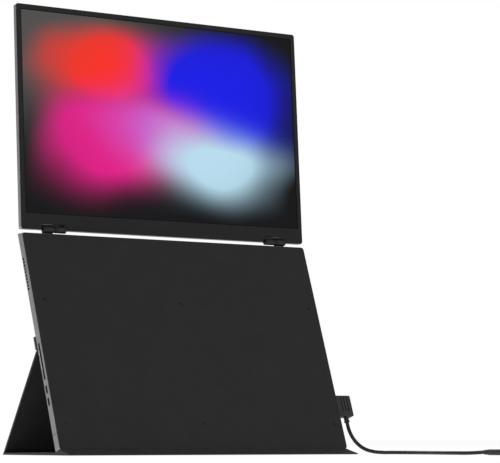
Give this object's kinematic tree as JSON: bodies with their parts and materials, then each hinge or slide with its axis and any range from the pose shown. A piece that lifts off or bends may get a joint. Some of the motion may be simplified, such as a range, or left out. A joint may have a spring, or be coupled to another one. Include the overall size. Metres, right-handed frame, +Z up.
{
  "type": "laptop screen extender",
  "caption": "Fold-out second display on friction hinges above a slim upright housing that stands behind a laptop lid, propped by a folding cover stand, with a lead.",
  "frame": {"origin": "middle of the footprint on the surface it stands on, without the lead", "axes": "+X to the right seen from the front, +Y to the back, +Z up"},
  "size_m": [0.3977, 0.3511, 0.475],
  "materials": {
    "aluminium": "fine bead-blasted, anodised grey",
    "bezel": "matte black",
    "screen": "anti-glare panel, lit picture",
    "light_guide": "clear acrylic",
    "steel": "brushed",
    "circuit_board": "solder resist",
    "led_strip": "white",
    "foam": "open cell foam",
    "hinge_black": "black coated",
    "front_cover": "matte black",
    "cover_leather": "fine-grained black",
    "lining": "microfibre",
    "stiff_board": "glass-fibre board",
    "magnet": "nickel plated",
    "speaker": "moulded",
    "flat_cable": "polyimide",
    "plug_black": "moulded, ribbed",
    "lead": "soft jacket"
  },
  "bodies": {
    "base": {"base_rear_shell": "aluminium", "base_front_cover": "front_cover", "base_end_cap": "aluminium", "front_lip": "cover_leather", "driver_board": "circuit_board", "right_port_board": "circuit_board", "button_board": "circuit_board", "strike_plate": "steel", "usb_socket_upper_left": "steel", "usb_socket_lower_left": "steel", "usb_socket_right": "steel", "speaker_left": "speaker", "speaker_right": "speaker", "base_bracket_left": "hinge_black", "base_bracket_right": "hinge_black", "friction_washers": "steel", "bracket_screws": "steel", "cover_screws": "steel", "flat_cable": "flat_cable", "elbow_plug": "plug_black", "elbow_tongue": "steel", "cable_sleeve": "plug_black", "cable": "lead", "far_plug": "plug_black", "far_tongue": "steel"},
    "display": {"display_back_shell": "aluminium", "display_bezel": "bezel", "lcd_panel": "screen", "light_guide": "light_guide", "panel_chassis": "steel", "led_strip": "led_strip", "timing_board": "circuit_board", "foam_pads": "foam", "display_screws": "steel", "display_bracket_left": "hinge_black", "display_bracket_right": "hinge_black", "hinge_shaft_left": "steel", "hinge_shaft_right": "steel"},
    "power_key": {"power_key": "aluminium"},
    "rocker_key": {"rocker_key": "aluminium"},
    "flap": {"floor_flap": "cover_leather", "flap_board": "stiff_board", "flap_lining": "lining"},
    "leaf": {"stand_leaf": "cover_leather", "leaf_board": "stiff_board", "leaf_lining": "lining"},
    "strip": {"stand_strip": "cover_leather", "strip_magnets": "magnet"}
  },
  "joints": [
    {"name": "display_tilt", "type": "hinge", "parent": "base", "child": "display", "pos_m": [0, 0.03262, 0.23519], "axis": [1, 0, 0], "range_deg": [-20, 163.4]},
    {"name": "power_press", "type": "slide", "parent": "base", "child": "power_key", "axis": [1, 0, 0], "range_m": [0, 0.0004], "stiffness_N_per_m": 600},
    {"name": "rocker_tilt", "type": "hinge", "parent": "base", "child": "rocker_key", "pos_m": [-0.1782, -0.0101, 0.09372], "axis": [0, 0.9397, -0.342], "range_deg": [-1.5, 1.5], "stiffness_Nm_per_rad": 0.05},
    {"name": "stand_fold", "type": "hinge", "parent": "base", "child": "flap", "pos_m": [0, -0.04004, 0.0024], "axis": [1, 0, 0], "range_deg": [0, 70]},
    {"name": "leaf_fold", "type": "hinge", "parent": "flap", "child": "leaf", "pos_m": [0, 0.06946, 0], "axis": [1, 0, 0], "range_deg": [-124.5, 0]},
    {"name": "strip_fold", "type": "hinge", "parent": "leaf", "child": "strip", "pos_m": [0, -0.00224, 0.10624], "axis": [1, 0, 0], "range_deg": [0, 54.5]}
  ],
  "couplings": [
    {"joint": "leaf_fold", "follows": "stand_fold", "ratio": -1.7564},
    {"joint": "strip_fold", "follows": "stand_fold", "ratio": 0.75636}
  ]
}
